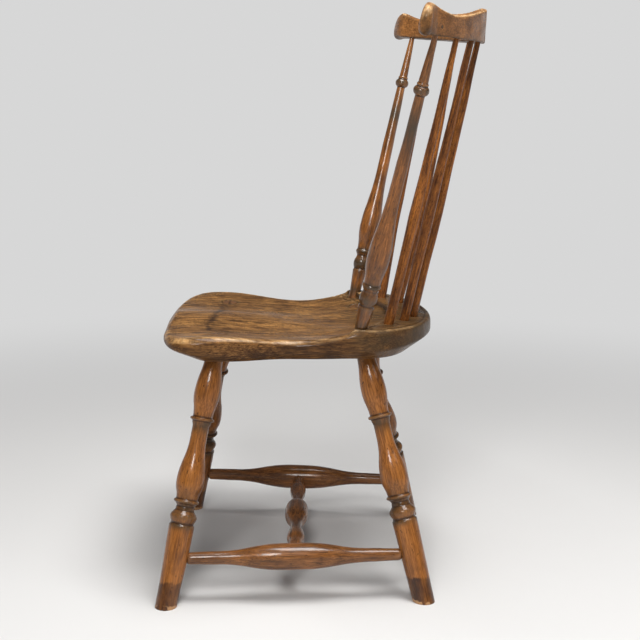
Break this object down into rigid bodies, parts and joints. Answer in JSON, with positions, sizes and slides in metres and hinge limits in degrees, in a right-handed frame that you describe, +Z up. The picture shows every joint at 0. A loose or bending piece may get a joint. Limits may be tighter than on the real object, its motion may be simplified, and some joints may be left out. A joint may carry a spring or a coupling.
{
  "type": "windsor side chair",
  "caption": "Wooden side chair with a saddled plank seat, splayed turned legs on an H stretcher and a raked fan of spindles under a serpentine crest rail.",
  "frame": {"origin": "on the floor under the middle of the chair's bounding box", "axes": "+Z up, +Y towards the back of the chair, +X towards the sitter's left"},
  "size_m": [0.72, 0.5234, 0.9341],
  "materials": {
    "seat_wood": "worn shellac over dark stain",
    "turned_wood": "semi-gloss shellac, dark in the turnings",
    "stretcher_wood": "semi-gloss shellac",
    "spindle_wood": "semi-gloss shellac with dark streaks",
    "crest_wood": "worn shellac, pale on its edges",
    "wedge_wood": "worn with the seat",
    "peg_wood": "flush end grain"
  },
  "bodies": {
    "root": {"seat": "seat_wood", "front_leg_left": "turned_wood", "front_leg_right": "turned_wood", "rear_leg_left": "turned_wood", "rear_leg_right": "turned_wood", "leg_wedge_front_left": "wedge_wood", "leg_wedge_front_right": "wedge_wood", "leg_wedge_rear_left": "wedge_wood", "leg_wedge_rear_right": "wedge_wood", "side_stretcher_left": "stretcher_wood", "side_stretcher_right": "stretcher_wood", "medial_stretcher": "stretcher_wood", "back_post_left": "turned_wood", "back_post_right": "turned_wood", "spindle_1": "spindle_wood", "spindle_2": "spindle_wood", "spindle_3": "spindle_wood", "spindle_4": "spindle_wood", "spindle_5": "spindle_wood", "spindle_6": "spindle_wood", "spindle_7": "spindle_wood", "crest_rail": "crest_wood", "crest_peg_left": "peg_wood", "crest_peg_right": "peg_wood"}
  },
  "joints": []
}
